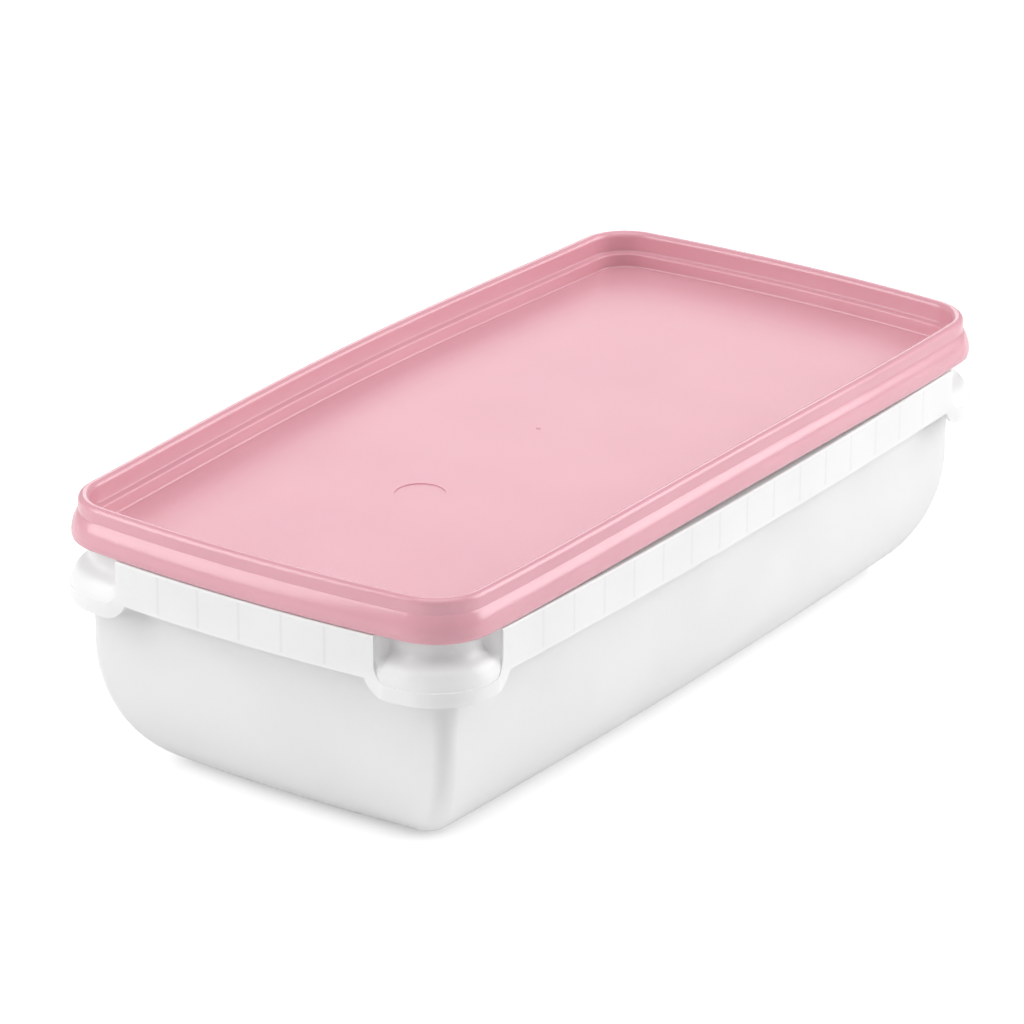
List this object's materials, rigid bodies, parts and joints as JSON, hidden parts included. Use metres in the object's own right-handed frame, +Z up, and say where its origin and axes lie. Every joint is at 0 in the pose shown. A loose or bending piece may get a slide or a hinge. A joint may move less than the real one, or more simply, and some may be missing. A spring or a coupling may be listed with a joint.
{
  "type": "freezer container",
  "caption": "Long low freezer container: a drafted translucent tub with rounded base, ribbed skirt and corner lift lugs, closed by a press-on lid with raised rounded bead and recessed panel.",
  "frame": {"origin": "middle of the tub's base, on the plane the container stands on", "axes": "+X along the length, +Y across the width, +Z up out of the lid"},
  "size_m": [0.29, 0.146, 0.0849],
  "materials": {
    "tub": "frosted translucent",
    "lid": "semi-gloss"
  },
  "bodies": {
    "root": {"tub": "tub", "lid": "lid"}
  },
  "joints": []
}
